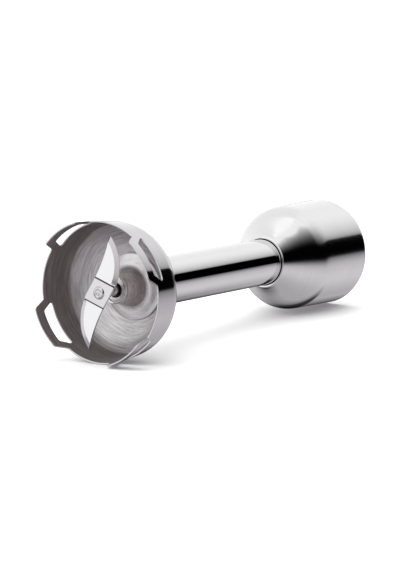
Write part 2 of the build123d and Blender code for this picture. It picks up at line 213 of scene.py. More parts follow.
def rounded(points, radii, steps, closed=False):
    """Polyline with its corners as arcs. A radius of 0 leaves a corner as it is."""
    out = []
    n = len(points)
    for i, (point, r) in enumerate(zip(points, radii)):
        if (not closed and i in (0, n - 1)) or not r:
            out.append(point)
            continue
        p, a, b = Vector(point), Vector(points[i - 1]), Vector(points[(i + 1) % n])
        to_a, to_b = (a - p).normalized(), (b - p).normalized()
        half = to_a.angle(to_b) / 2
        centre = p + (to_a + to_b).normalized() * (r / sin(half))
        start = p + to_a * (r / tan(half)) - centre
        end = p + to_b * (r / tan(half)) - centre
        turn = start.angle_signed(end)
        for k in range(steps + 1):
            t = -turn * k / steps
            x, y = start
            out.append((centre.x + x * cos(t) - y * sin(t), centre.y + x * sin(t) + y * cos(t)))
    return out


def rounded_ring(points, radius):
    """Closed outline with all its corners rounded."""
    return rounded(points, [radius] * len(points), 3, closed=True)


def resample(points, spacing, closed=False):
    """Splits long runs, so that the mesh follows the round wall."""
    out = []
    ends = points[1:] + points[:1] if closed else points[1:]
    for (ax, ay), (bx, by) in zip(points, ends):
        count = max(1, int(hypot(bx - ax, by - ay) / spacing))
        out += [(ax + (bx - ax) * k / count, ay + (by - ay) * k / count) for k in range(count)]
    return out if closed else out + [points[-1]]


def offset_line(points, distance, closed):
    """Points moved to the left of the way the line runs."""
    n = len(points)
    moved = []
    for i, point in enumerate(points):
        p = Vector(point)
        before = Vector(points[i - 1]) if closed or i > 0 else p
        after = Vector(points[(i + 1) % n]) if closed or i < n - 1 else p
        a, b = (p - before).normalized(), (after - p).normalized()
        normal = Vector((-(a + b).y, (a + b).x)).normalized()
        widen = max(0.5, normal.dot(Vector((-a.y, a.x)) if a.length else normal))
        moved.append(tuple(p + normal * distance / widen))
    return moved


def inside(point, loop):
    x, y = point
    result = False
    for (ax, ay), (bx, by) in zip(loop, loop[1:] + loop[:1]):
        if (ay > y) != (by > y) and x < (bx - ax) * (y - ay) / (by - ay) + ax:
            result = not result
    return result


# ---------------------------------------------------------------- guard

def wall_r(station):
    return RIM_R - FLARE * station


def wall_point(angle, station, depth):
    return place(station, wall_r(station) - depth, angle)


def wall_normal(angle, side):
    """Normal of the guard's straight wall, outwards for side 1 and inwards for -1."""
    return Vector((-cos(angle), FLARE, sin(angle))).normalized() * side


def flat(point):
    """(angle, station) of the wall as millimetres on a plane."""
    return point[0] * RIM_R, point[1]


def unflat(point):
    return point[0] / RIM_R, point[1]


def inset_line(line, distance, closed):
    return [unflat(p) for p in offset_line([flat(p) for p in line], distance, closed)]


def rim_outline():
    """Edge of the rim over one sector, from gap to gap across a tab, as (angle from the tab's
    middle in radians, station)."""
    root = wall_r(0) * sin(radians(45 - TAB_BASE_HALF))
    tip = wall_r(-TAB_REACH) * sin(radians(45 - TAB_TIP_HALF))
    middle = wall_r(-TAB_REACH) * sin(radians(45))
    line = rounded(
        [(0, 0), (root, 0), (tip, -TAB_REACH), (middle, -TAB_REACH)],
        [0, TAB_ROOT, TAB_CORNER, 0], 6,
    )
    line = resample(line, EDGE_SPACING)
    half = [(asin(x / wall_r(s)) - pi / 4, s) for x, s in line]
    return half + [(-a, s) for a, s in reversed(half[:-1])]


def window_outline():
    near = wall_r(WINDOW_NEAR) * sin(radians(WINDOW_NEAR_HALF))
    far = wall_r(WINDOW_FAR) * sin(radians(WINDOW_FAR_HALF))
    corners = [(-near, WINDOW_NEAR), (near, WINDOW_NEAR), (far, WINDOW_FAR), (-far, WINDOW_FAR)]
    line = rounded(corners, [WINDOW_CORNER] * 4, 5, closed=True)
    return [(asin(x / wall_r(s)), s) for x, s in resample(line, EDGE_SPACING, closed=True)]


def guard_sector(rim, hole):
    """Points and triangles of one flat sector of the wall, between its rounded edges."""
    rim_in = inset_line(rim, EDGE_ROUND, False)
    rim_in[0] = (-pi / 4, rim_in[0][1])
    rim_in[-1] = (pi / 4, rim_in[-1][1])
    side = list(np.linspace(rim_in[0][1], GRID_TOP, SIDE_POINTS))[1:-1]
    top = [(pi / 4 - pi / 2 * k / SECTOR_STEPS, GRID_TOP) for k in range(SECTOR_STEPS + 1)]
    boundary = rim_in + [(pi / 4, s) for s in side] + top + [(-pi / 4, s) for s in side[::-1]]
    outer = [flat(p) for p in boundary]
    inner = [flat(p) for p in inset_line(hole, -EDGE_ROUND, True)]
    points = outer + inner
    n, m = len(outer), len(inner)
    edges = [(i, (i + 1) % n) for i in range(n)]
    edges += [(n + i, n + (i + 1) % m) for i in range(m)]
    for s in np.arange(GRID_START, GRID_TOP - 0.5, GRID_STEP):
        for k in range(1, SECTOR_STEPS):
            p = flat((pi / 2 * k / SECTOR_STEPS - pi / 4, float(s)))
            clear = min(hypot(p[0] - q[0], p[1] - q[1]) for q in outer + inner)
            if clear > GRID_CLEAR and inside(p, outer) and not inside(p, inner):
                points.append(p)
    verts, _, tris, _, _, _ = delaunay_2d_cdt([Vector(p) for p in points], edges, [], 0, 1e-5)
    kept = []
    for tri in tris:
        centre = sum((verts[i] for i in tri), Vector((0, 0))) / len(tri)
        if inside(centre, outer) and not inside(centre, inner):
            kept.append(tuple(tri))
    return [unflat(v) for v in verts], kept


def edge_strip(line, closed, inward):
    """Rounded cut edge along a line of the wall. inward is the side of the sheet: 1 where
    the sheet is to the left of the line. Gives rows of (points, depth, tilt), and the flat
    direction out of the sheet at each point."""
    quarter = [pi / 2 * k / ROUND_STEPS for k in range(ROUND_STEPS + 1)]
    rows = [(EDGE_ROUND * (1 - cos(phi)), phi, phi) for phi in quarter]
    rows += [(SHEET - EDGE_ROUND * (1 - cos(phi)), pi - phi, phi) for phi in reversed(quarter)]
    strip = []
    for depth, tilt, phi in rows:
        offset = EDGE_ROUND * (1 - sin(phi))
        moved = inset_line(line, inward * offset, closed) if offset > 1e-6 else line
        strip.append((moved, depth, tilt))
    outward = []
    for p, q in zip(line, inset_line(line, -inward * 0.5, closed)):
        (ax, ay), (bx, by) = flat(p), flat(q)
        outward.append(Vector((bx - ax, by - ay)).normalized())
    return strip, outward


class Skin:
    """Mesh data of the guard. A kind is the index of a face's material."""

    def __init__(self):
        self.verts, self.normals, self.faces, self.kinds = [], [], [], []
        self.seen = {}

    def point(self, position, normal):
        key = tuple(round(c, 7) for c in position) + tuple(round(c, 2) for c in normal)
        if key not in self.seen:
            self.seen[key] = len(self.verts)
            self.verts.append(position)
            self.normals.append(normal)
        return self.seen[key]

    def face(self, ids, kind):
        self.faces.append(ids)
        self.kinds.append(kind)


def add_wall(skin, middle, points, tris):
    """Outside and inside of one sector of the cut-out wall."""
    for depth, side in ((0.0, 1), (SHEET, -1)):
        normals = [wall_normal(middle + a, side) for a, _ in points]
        ids = [skin.point(wall_point(middle + a, s, depth), n)
               for (a, s), n in zip(points, normals)]
        for a, b, c in tris:
            if side > 0:
                skin.face((ids[a], ids[b], ids[c]), 0)
            else:
                skin.face((ids[a], ids[c], ids[b]), 1)


def add_edge(skin, middle, line, closed, inward):
    """Cut edge of one sector along the rim or round a window."""
    strip, outward = edge_strip(line, closed, inward)
    rows = []
    for moved, depth, tilt in strip:
        row = []
        for (a, s), out in zip(moved, outward):
            angle = middle + a
            if not closed and abs(abs(a) - pi / 4) < 1e-3:
                angle = middle + (pi / 4 if a > 0 else -pi / 4)
                out = Vector((0, -1))
            around = Vector((sin(angle), 0, cos(angle)))
            edge_normal = around * out.x + Vector((0, 1, 0)) * out.y
            normal = wall_normal(angle, 1) * cos(tilt) + edge_normal * sin(tilt)
            row.append(skin.point(wall_point(angle, s, depth), normal.normalized()))
        rows.append(row)
    count = len(line)
    for upper, lower in zip(rows, rows[1:]):
        for k in range(count if closed else count - 1):
            m = (k + 1) % count
            quad = (upper[k], upper[m], lower[m], lower[k])
            if len(set(quad)) == 4:
                skin.face(quad if inward < 0 else quad[::-1], 2)


def dome_profile(inset):
    """Stations and radii from the top of the cut-out wall to the tube."""
    start = wall_r(WALL_TOP) - inset
    end = DOME_TOP - inset
    near, far = DOME_HANDLES
    wall = [(s, wall_r(s) - inset) for s in np.linspace(GRID_TOP, WALL_TOP, 5)]
    dome = bezier(
        [(WALL_TOP, start), (WALL_TOP + near, start - FLARE * near),
         (end, TUBE_R + far), (end, TUBE_R)], DOME_STEPS,
    )
    return wall[:-1] + dome


def add_dome(skin):
    segments = TAB_COUNT * SECTOR_STEPS
    for inset, side in ((0.0, 1), (SHEET, -1)):
        profile = dome_profile(inset)
        rows = []
        for i, (s, r) in enumerate(profile):
            before, after = profile[max(i - 1, 0)], profile[min(i + 1, len(profile) - 1)]
            ds, dr = after[0] - before[0], after[1] - before[1]
            if i == 0:
                ds, dr = 1.0, -FLARE
            length = hypot(ds, dr)
            row = []
            for k in range(segments):
                angle = radians(TAB_ANGLE) - pi / 4 + 2 * pi * k / segments
                n = Vector((-cos(angle) * ds, -dr, sin(angle) * ds)) / length * side
                row.append(skin.point(place(s, r, angle), n))
            rows.append(row)
        for lower, upper, (station, _) in zip(rows, rows[1:], profile):
            # Inside faces past this station get the lighter steel painted as lit, the rest the
            # darker steel painted as shade.
            inside_kind = 3 if station > PAINTED_LIGHT_START else 1
            for k in range(segments):
                m = (k + 1) % segments
                quad = (lower[k], lower[m], upper[m], upper[k])
                if side > 0:
                    skin.face(quad, 0)
                else:
                    skin.face(quad[::-1], inside_kind)


def make_guard(*steels):
    rim, hole = rim_outline(), window_outline()
    points, tris = guard_sector(rim, hole)
    skin = Skin()
    for sector in range(TAB_COUNT):
        middle = radians(TAB_ANGLE) + sector * pi / 2
        add_wall(skin, middle, points, tris)
        add_edge(skin, middle, rim, False, 1)
        add_edge(skin, middle, hole, True, -1)
    add_dome(skin)
    piece = finish_mesh("guard_bell", skin.verts, skin.faces, skin.normals, skin.kinds)
    dress(piece, "shaft_body", "blade_guard", "guard_steel", *steels)


# ---------------------------------------------------------------- blade

def leading_u(w, inset=0.0):
    (x, y), r = circle_through(*LEADING)
    return x + sqrt(max((r - inset) ** 2 - (w - y) ** 2, 0))


def trailing_u(w):
    (x, y), r = circle_through(*TRAILING)
    side = 1 if TRAILING[1][0] > x else -1
    return x + side * sqrt(max(r * r - (w - y) ** 2, 0))


def middle_u(w):
    """Right edge of the flat centre: straight between the two wings' edges."""
    low, high = -TRAILING[0][0], LEADING[0][0]
    return low + (high - low) * (w + BEND_REACH) / (2 * BEND_REACH)


def grind_drop(u, w):
    """How far the ground bevel lies below the blade's front at a point of a wing."""
    (x, y), r = circle_through(*LEADING)
    beyond = hypot(u - x, w - y) - (r - GRIND_WIDTH)
    return GRIND_DEPTH * min(max(beyond / GRIND_WIDTH, 0), 1)


def bent(u, w, z, bend):
    """A point of the flat blade after its wing is bent about the line at BEND_REACH."""
    start = BEND_REACH - BEND_RUN / 2
    if w <= start:
        return u, w, z
    full = radians(bend)
    run = min(w - start, BEND_RUN)
    angle = full * run / BEND_RUN
    radius = BEND_RUN / full
    rest = w - start - run
    along = start + radius * sin(angle) + rest * cos(angle)
    height = -radius * (1 - cos(angle)) - rest * sin(angle)
    return u, along + z * sin(angle), height + z * cos(angle)


def wing_rows():
    """Stations along a wing, close together at the bend and at the tip."""
    near = list(np.linspace(0, BEND_REACH - 0.6, 8))
    bend = list(np.linspace(BEND_REACH - 0.5, BEND_REACH + 0.5, 13))
    out = list(np.linspace(BEND_REACH + 0.9, TIP[1] - 1.2, 34))
    tip = [TIP[1] - 0.8, TIP[1] - 0.5, TIP[1] - 0.25, TIP[1] - 0.08]
    return near + bend + out + tip


def wing_section(w):
    """(u, z) outline of the blade across one station: left edge, front, bevel and back."""
    if w > BEND_REACH:
        left, right = trailing_u(w), leading_u(w)
    else:
        left, right = -middle_u(-w), middle_u(w)
    right -= NOTCH * max(0, 1 - abs(w - BEND_REACH) / NOTCH)
    half = BLADE_THICK / 2
    e = BLADE_EDGE
    groove = CREASE_DEPTH * max(0, 1 - abs(w - BEND_REACH) / CREASE_HALF)
    ground = min(max((w - BEND_REACH) / GRIND_START, 0), 1)
    inner = leading_u(w, GRIND_WIDTH) if w > BEND_REACH else right - e
    inner = min(max(inner, left + e), right - e)
    inner = inner * ground + (right - e) * (1 - ground)
    points = [(left, -half + e), (left, half - e)]
    for t in np.linspace(0, 1, FRONT_POINTS):
        points.append((left + e + (inner - left - e) * t, half - groove))
    for t in np.linspace(0.02, 1, GRIND_POINTS):
        u = inner + (right - inner) * t
        drop = grind_drop(u, w) * ground + e * t * (1 - ground)
        points.append((u, half - drop))
    points += [(right, -half + e * (1 - ground)), (right - e, -half)]
    for t in np.linspace(0.2, 0.8, 3):
        points.append((right - e + (left + 2 * e - right) * t, -half))
    points.append((left + e, -half))
    return points


def blade_kind(w, k):
    """Material index of a face: 0 centre, 1 wing, 2 crease (painted near black as shade), 3 bevel,
    right edge and back.
    """
    if abs(w - BEND_REACH) < CREASE_HALF:
        return 2
    if w < BEND_REACH:
        return 0
    return 3 if k > FRONT_POINTS else 1


def make_blade(*steels):
    """Two halves, a half turn apart, that meet in the flat centre."""
    verts, faces, kinds = [], [], []
    stations = wing_rows()
    middle = BLADE_FRONT + BLADE_THICK / 2
    turn = radians(BLADE_TURN)
    for sign, bend in ((1, BEND), (-1, -BEND)):
        rows = []
        for w in stations:
            row = []
            for u, z in wing_section(w):
                x, y, h = bent(u, w, z, bend)
                x, y = sign * x, sign * y
                px = x * cos(turn) - y * sin(turn)
                pz = x * sin(turn) + y * cos(turn)
                row.append(len(verts))
                verts.append(Vector((px * MM, RIM_Y + (middle - h) * MM, pz * MM)))
            rows.append(row)
        for i, (low, high) in enumerate(zip(rows, rows[1:])):
            count = len(low)
            for k in range(count):
                m = (k + 1) % count
                faces.append((low[k], high[k], high[m], low[m]))
                kinds.append(blade_kind((stations[i] + stations[i + 1]) / 2, k))
        faces.append(tuple(rows[-1][::-1]))
        kinds.append(1)
    piece = finish_mesh("blade_s", verts, faces, None, kinds)
    weld(piece.data)
    mark_sharp(piece.data, 18)
    dress(piece, "rotor", "blade", "blade_steel", *steels)


# ---------------------------------------------------------------- turned pieces

def lathe(name, profile, segments, closed=False, sharp=25.0):
    """Surface of revolution. The profile runs so that its outside is on its left when the
    station grows to the right and the radius upwards."""
    verts, faces = [], []
    rows = len(profile)
    for station, radius in profile:
        for k in range(segments):
            verts.append(place(station, max(radius, AXIS_R), 2 * pi * k / segments))
    for i in range(rows if closed else rows - 1):
        j = (i + 1) % rows
        for k in range(segments):
            m = (k + 1) % segments
            faces.append((i * segments + k, i * segments + m, j * segments + m, j * segments + k))
    piece = finish_mesh(name, verts, faces)
    mark_sharp(piece.data, sharp)
    return piece


def make_hub(*steels):
    """Boss with a bright lip and groove in front, and a dish that meets the guard."""
    f = DISH_FLOOR
    profile = rounded(
        [(13.4, 5.5), (11.6, 5.5), (11.2, 5.85), (11.2, 6.35), (11.6, 6.6), (12.45, 6.6),
         (12.5, 6.2), (12.85, 6.2), (12.9, 6.68), (22.4, 8.2)],
        [0, 0.2, 0.15, 0.15, 0.25, 0.12, 0.05, 0.05, 0.1, 0], ROUND_STEPS,
    )
    profile += bezier([(22.4, 8.2), (f - 0.6, 8.5), (f, 9.7), (f, 12.0)], 12)[1:]
    profile += [(f, 14.9), (f + 0.1, 15.25), (f + 0.35, 15.4), (26.05, 15.4)]
    piece = lathe("hub_boss", profile, 160)
    lip, dish = RIM_Y + HUB_LIP * MM, RIM_Y + HUB_DISH * MM
    for face in piece.data.polygons:
        at = face.center.y
        face.material_index = 1 if at > dish else 2 if at < lip else 0
    dress(piece, "shaft_body", "bearing_hub", "hub_steel", *steels)


def make_seal(cap_steel, rubber):
    cap = lathe("seal_washer", rounded_ring(
        [(11.95, 3.6), (11.95, 5.48), (13.2, 5.48), (13.2, 3.5), (12.6, 3.5)], 0.12), 128, True)
    dress(cap, "shaft_body", "seal_cap", "hub_steel", cap_steel)
    lip = lathe("seal_lip", rounded_ring(
        [(13.4, 2.62), (13.4, 5.5), (15.8, 5.5), (15.8, 2.62), (14.8, 3.3)], 0.1), 96, True)
    dress(lip, "shaft_body", "lip_seal", "seal_rubber", rubber)


def make_shaft(ground_steel):
    profile = [
        (0.2, 0.0), (0.2, 1.9), (2.5, 1.9), (2.6, 2.0), (2.6, 2.4), (2.75, 2.5),
        (14.0, 2.5), (28.0, 2.5), (150.0, 2.5), (156.7, 2.5), (157.0, 2.2), (157.0, 0.0),
    ]
    piece = lathe("shaft_rod", profile, 96)
    dress(piece, "rotor", "drive_shaft", "shaft_steel", ground_steel)
    collar = lathe("collar_ring", rounded_ring(
        [(0.62, 2.0), (0.62, 3.8), (2.58, 3.8), (2.58, 2.0)], 0.15), 96, True)
    dress(collar, "rotor", "blade_collar", "shaft_steel", ground_steel)


def make_rivet(peened):
    """Head with a rolled edge and a shallow ring where the pin was spun over."""
    f = BLADE_FRONT
    profile = [(f - 0.66, 0.0), (f - 0.63, 1.1), (f - 0.6, 1.35), (f - 0.7, 1.75)]
    profile += arc_through((f - 0.72, 2.0), (f - 0.5, 2.6), (f - 0.02, 2.98), 8)
    profile += [(f + 0.02, 2.98)]
    piece = lathe("rivet_head", profile, 96)
    dress(piece, "rotor", "blade_rivet", "blade_steel", peened)


def make_tube(polished):
    start, end, r, e = TUBE_START, TUBE_END, TUBE_R, 0.2
    profile = [(start, r - SHEET), (start, r - e), (start + e, r)]
    profile += [(s, r) for s in np.linspace(start + 2, end - 2, 24)]
    profile += [(end - e, r), (end, r - e), (end, r - SHEET)]
    piece = lathe("tube_skin", profile, 256, True)
    dress(piece, "shaft_body", "shaft_tube", "tube_steel", polished)


def softened(points, reach):
    """The same line with its bends spread along it."""
    stations, radii = np.array(points).T
    out = []
    for s in stations:
        w = min(reach, s - stations[0], stations[-1] - s)
        out.append((s, float(np.interp(np.linspace(s - w, s + w, 41), stations, radii).mean())))
    return out


def housing_side(inset):
    """Outline of the coupling from the tube to its mouth, this far below its outside."""
    lip_r = TUBE_R + 0.4 + SHEET - inset
    shoulder = SHOULDER_R - inset
    length = HOUSING_END - SHOULDER
    dome = bezier(
        [(HOUSING_START, lip_r), (HOUSING_START + 8.0, 16.6 - inset),
         (SHOULDER - SHOULDER_HANDLE, shoulder - HOUSING_FLARE * SHOULDER_HANDLE),
         (SHOULDER, shoulder)], 48,
    )
    wall = [(SHOULDER + length * t, shoulder + HOUSING_FLARE * length * t)
            for t in np.linspace(0, 1, 30)]
    return softened(dome + wall[1:], SHOULDER_SOFT)


def make_housing(polished):
    outer = housing_side(0.0)
    inner = housing_side(SHEET)
    lip_s, lip_r = outer[0]
    end_s, end_r = outer[-1]
    rolled_lip = [(lip_s + 0.05, lip_r - 0.45), (lip_s, lip_r - 0.3),
                  (lip_s + 0.05, lip_r - 0.1), (lip_s + 0.25, lip_r + 0.08)]
    rolled_end = [(end_s - 0.25, end_r - 0.005), (end_s - 0.07, end_r - 0.08),
                  (end_s, end_r - 0.25)]
    profile = rolled_lip + outer[1:-1] + rolled_end + inner[::-1]
    piece = lathe("housing_bell", profile, 256, True, sharp=40)
    dress(piece, "shaft_body", "coupling_housing", "housing_steel", polished)


# ---------------------------------------------------------------- material nodes

def node_material(name):
    material = bpy.data.materials.new(name)
    material.use_nodes = True
    tree = material.node_tree
    tree.nodes.clear()
    out = tree.nodes.new("ShaderNodeOutputMaterial")
    shader = tree.nodes.new("ShaderNodeBsdfPrincipled")
    tree.links.new(shader.outputs[0], out.inputs[0])
    return material, tree, shader


def math_node(tree, operation, *values):
    node = tree.nodes.new("ShaderNodeMath")
    node.operation = operation
    for i, value in enumerate(values):
        if isinstance(value, (int, float)):
            node.inputs[i].default_value = value
        else:
            tree.links.new(value, node.inputs[i])
    return node.outputs[0]


def times(tree, a, b):
    return math_node(tree, "MULTIPLY", a, b)


def plus(tree, a, b):
    return math_node(tree, "ADD", a, b)


def minus(tree, a, b):
    return math_node(tree, "SUBTRACT", a, b)


def coordinates(tree, kind):
    return tree.nodes.new("ShaderNodeTexCoord").outputs[kind]


def split_xyz(tree, vector):
    node = tree.nodes.new("ShaderNodeSeparateXYZ")
    tree.links.new(vector, node.inputs[0])
    return node.outputs


def round_coordinates(tree, around, along, outward):
    """Coordinates that follow a turned piece: the angle round the shaft, metres along it and
    metres out from it, each with its own scale, for marks that run round the piece."""
    x, y, z = split_xyz(tree, coordinates(tree, "Object"))
    angle = math_node(tree, "ARCTAN2", x, z)
    radius = math_node(tree, "SQRT", plus(tree, times(tree, x, x), times(tree, z, z)))
    join = tree.nodes.new("ShaderNodeCombineXYZ")
    for i, (value, scale) in enumerate(((angle, around), (y, along), (radius, outward))):
        tree.links.new(times(tree, value, scale), join.inputs[i])
    return join.outputs[0]


def noise(tree, vector, scale, detail, rough):
    node = tree.nodes.new("ShaderNodeTexNoise")
    node.inputs["Scale"].default_value = scale
    node.inputs["Detail"].default_value = detail
    node.inputs["Roughness"].default_value = rough
    tree.links.new(vector, node.inputs["Vector"])
    return node.outputs["Fac"]


def ramp(tree, value, stops):
    """Colours by (position, colour) stops. A number stands for a grey."""
    node = tree.nodes.new("ShaderNodeValToRGB")
    tree.links.new(value, node.inputs[0])
    stops = [(at, (c,) * 3 if isinstance(c, (int, float)) else c) for at, c in stops]
    elements = node.color_ramp.elements
    for element, (at, colour) in zip(elements, (stops[0], stops[-1])):
        element.position = at
        element.color = (*colour, 1)
    for at, colour in stops[1:-1]:
        elements.new(at).color = (*colour, 1)
    return node.outputs[0]


def curve(tree, value, points):
    """Straight lines through (value, result) points, level beyond the first and the last."""
    low, high = points[0][0], points[-1][0]
    top = max(abs(result) for _, result in points) * 2
    node = tree.nodes.new("ShaderNodeMapRange")
    node.inputs["From Min"].default_value = low
    node.inputs["From Max"].default_value = high
    tree.links.new(value, node.inputs["Value"])
    stops = [((v - low) / (high - low), result / top + 0.5) for v, result in points]
    return times(tree, minus(tree, ramp(tree, node.outputs[0], stops), 0.5), top)


def span(tree, value, low, high):
    """A 0 to 1 value stretched to low to high."""
    node = tree.nodes.new("ShaderNodeMapRange")
    node.inputs["To Min"].default_value = low
    node.inputs["To Max"].default_value = high
    tree.links.new(value, node.inputs["Value"])
    return node.outputs[0]


def bump(tree, shader, height, strength, distance):
    node = tree.nodes.new("ShaderNodeBump")
    node.inputs["Strength"].default_value = strength
    node.inputs["Distance"].default_value = distance
    tree.links.new(height, node.inputs["Height"])
    tree.links.new(node.outputs[0], shader.inputs["Normal"])


def steel(name, colour, roughness, lines=3000, depth=0.0, streak=0.0, patch=0.04, stretch=0.0,
          around=1.2, shift=None):
    """Steel with fine marks round the shaft.

    lines is how many marks show in a metre and around how many parts they break into. streak
    is how far they change the colour, depth their relief in metres, and patch how far broad
    areas change the colour. stretch is how far highlights run across the marks. shift gives
    (place along the shaft in metres, brightness) points, which paint light and shade into the
    colour along the shaft."""
    material, tree, shader = node_material(name)
    shader.inputs["Metallic"].default_value = 1.0
    if stretch:
        shader.inputs["Anisotropic"].default_value = stretch
        tangent = tree.nodes.new("ShaderNodeTangent")
        tangent.direction_type = "RADIAL"
        tangent.axis = "Y"
        tree.links.new(tangent.outputs[0], shader.inputs["Tangent"])
    fine = noise(tree, round_coordinates(tree, around, lines, lines), 1.0, 5.0, 0.75)
    broad = noise(tree, round_coordinates(tree, 0.9, 90, 90), 1.0, 3.0, 0.5)
    level = plus(tree, times(tree, minus(tree, fine, 0.5), streak),
                 times(tree, minus(tree, broad, 0.5), patch))
    tint = ramp(tree, plus(tree, level, 0.5), [
        (0.0, tuple(c * 0.35 for c in colour)), (0.5, colour),
        (1.0, tuple(min(c * 1.6, 1.0) for c in colour)),
    ])
    if shift:
        along = split_xyz(tree, coordinates(tree, "Object"))[1]
        scale = tree.nodes.new("ShaderNodeVectorMath")
        scale.operation = "SCALE"
        tree.links.new(tint, scale.inputs[0])
        tree.links.new(curve(tree, along, shift), scale.inputs["Scale"])
        tint = scale.outputs[0]
    tree.links.new(tint, shader.inputs["Base Color"])
    tree.links.new(span(tree, fine, *roughness), shader.inputs["Roughness"])
    if depth:
        bump(tree, shader, fine, 1.0, depth)
    return material


def plastic(name, colour, roughness):
    material, tree, shader = node_material(name)
    where = coordinates(tree, "Object")
    grain = noise(tree, where, 2500, 2, 0.5)
    tint = ramp(tree, noise(tree, where, 60, 3, 0.6), [
        (0.3, tuple(c * 0.85 for c in colour)), (0.7, tuple(c * 1.15 for c in colour)),
    ])
    tree.links.new(tint, shader.inputs["Base Color"])
    tree.links.new(span(tree, grain, roughness - 0.08, roughness + 0.1), shader.inputs["Roughness"])
    bump(tree, shader, grain, 0.3, 0.00005)
    return material


# ---------------------------------------------------------------- studio

# The room that the steel mirrors. Azimuths go from +Y towards +X and elevations up from
# level, both in degrees. The first value of each pair is the azimuth, or the elevation in
# TABLE and BAND_HEIGHT. The second is a brightness unless a comment says otherwise.
WHITE = [(-180, 1.5), (-110, 1.5), (-80, 1.22), (-20, 1.22), (0, 1.3), (140, 1.32), (180, 1.5)]
DARK_TOP = [  # elevation where the dark wall starts to fade to white
    (-180, -8), (-165, -60), (-27, -60), (-20, -3), (0, 4), (10, 9), (20, 14), (30, 18),
    (60, 21), (80, 22), (100, 23.5), (125, 26), (140, 8), (160, -4), (180, -8),
]
DARK_FADE = [  # power of the fade: small is sudden
    (-180, 0.2), (-165, 0.02), (-20, 0.02), (0, 0.05), (10, 0.1), (20, 0.2), (30, 0.3),
    (40, 0.5), (60, 0.95), (80, 1.3), (90, 1.7), (100, 2.5), (125, 2.1), (145, 0.5),
    (160, 0.2), (180, 0.2),
]
FADE_HEIGHT = 45.0
TABLE = [
    (-80, 0.6), (-70, 0.64), (-60, 0.68), (-50, 0.77), (-40, 0.86), (-30, 0.9), (-20, 0.8),
    (-16, 0.7), (-12, 0.52), (-8, 0.25), (-4, 0.04), (-1.5, 0.004),
]
TABLE_SHIFT = [  # degrees by which TABLE moves up
    (-180, 6.0), (-160, 4.0), (-20, 4.0), (0, 7.0), (25, 6.0), (35, 4.0), (60, 0.0),
    (130, 0.0), (150, 4.0), (180, 6.0),
]
TABLE_EDGE = [  # elevation where the table ends
    (-180, 0.0), (-165, -9.0), (-28, -9.0), (-20, -5.0), (-5, -0.5), (60, -0.5), (180, 0.0),
]
TABLE_COLOUR = (0.99, 0.955, 1.0)
# Painted shadow in the room: a dark patch under the coupling that stands for its shadow on
# the table as the steel mirrors it, by the cosine of the angle from its middle, and how strong
# it is by the direction's Y.
SHADE_AT = (-0.283, 0.635, -0.719)
SHADE = [(0.80, 1.0), (0.87, 0.72), (0.92, 0.45), (0.945, 0.2), (0.965, 0.06)]
SHADE_REACH = [(0.79, 1.0), (0.83, 0.35)]
# Dark band far behind: brightness by azimuth, and how strong it is by elevation.
BAND = [(-50, 1.0), (-42, 0.35), (-36, 0.1), (-28, 0.14), (-20, 0.6), (-14, 1.0)]
BAND_HEIGHT = [(-60, 0.0), (-42, 1.0), (-2, 1.0), (5, 0.0)]

SUN_ENERGY = 2.3
SUN_ANGLE = 140.0
SUN_DIRECTION = (0.28, -0.42, -0.86)

LENS = 189.5
CAMERA_AZIMUTH = 34.37
CAMERA_ELEVATION = 7.67
CAMERA_DISTANCE = 1.3441
CAMERA_AIM = (0.0369, RIM_Y + 0.0258, 0.0035)

FLOOR_HALF = 6.0
FLOOR_GAP = 0.00005


def make_floor():
    """White floor that touches the rim of the guard and the end of the coupling."""
    rim_low = -RIM_R * MM
    end_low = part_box("coupling_housing")[0].z
    end_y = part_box("coupling_housing")[1].y
    h = FLOOR_HALF
    mesh = bpy.data.meshes.new("floor")
    mesh.from_pydata([(-h, -h, 0), (h, -h, 0), (h, h, 0), (-h, h, 0)], [], [(0, 1, 2, 3)])
    floor = bpy.data.objects.new("floor", mesh)
    bpy.context.scene.collection.objects.link(floor)
    floor.location = (0, RIM_Y, rim_low - FLOOR_GAP)
    floor.rotation_euler = (atan2(end_low - rim_low, end_y - RIM_Y), 0, 0)
    material, _, shader = node_material("floor_white")
    shader.inputs["Base Color"].default_value = (0.9, 0.9, 0.9, 1)
    shader.inputs["Roughness"].default_value = 0.9
    shader.inputs["Specular IOR Level"].default_value = 0.0
    mesh.materials.append(material)
    floor.visible_glossy = False


def room_wall(tree, azimuth, elevation):
    """White room with a dark wall to the right of the shaft."""
    above = minus(tree, elevation, curve(tree, azimuth, DARK_TOP))
    above = math_node(tree, "DIVIDE", above, FADE_HEIGHT)
    above = math_node(tree, "MINIMUM", math_node(tree, "MAXIMUM", above, 1e-12), 1.0)
    wall = math_node(tree, "POWER", above, curve(tree, azimuth, DARK_FADE))
    return times(tree, wall, curve(tree, azimuth, WHITE))


def room_table(tree, direction, along, azimuth, elevation):
    """Pale table with the painted shadow of the coupling, as the steel mirrors it."""
    lower = minus(tree, elevation, curve(tree, azimuth, TABLE_SHIFT))
    facing = tree.nodes.new("ShaderNodeVectorMath")
    facing.operation = "DOT_PRODUCT"
    facing.inputs[1].default_value = SHADE_AT
    tree.links.new(direction, facing.inputs[0])
    shade = minus(tree, 1.0, curve(tree, facing.outputs["Value"], SHADE))
    shade = times(tree, shade, curve(tree, along, SHADE_REACH))
    return times(tree, curve(tree, lower, TABLE), minus(tree, 1.0, shade))


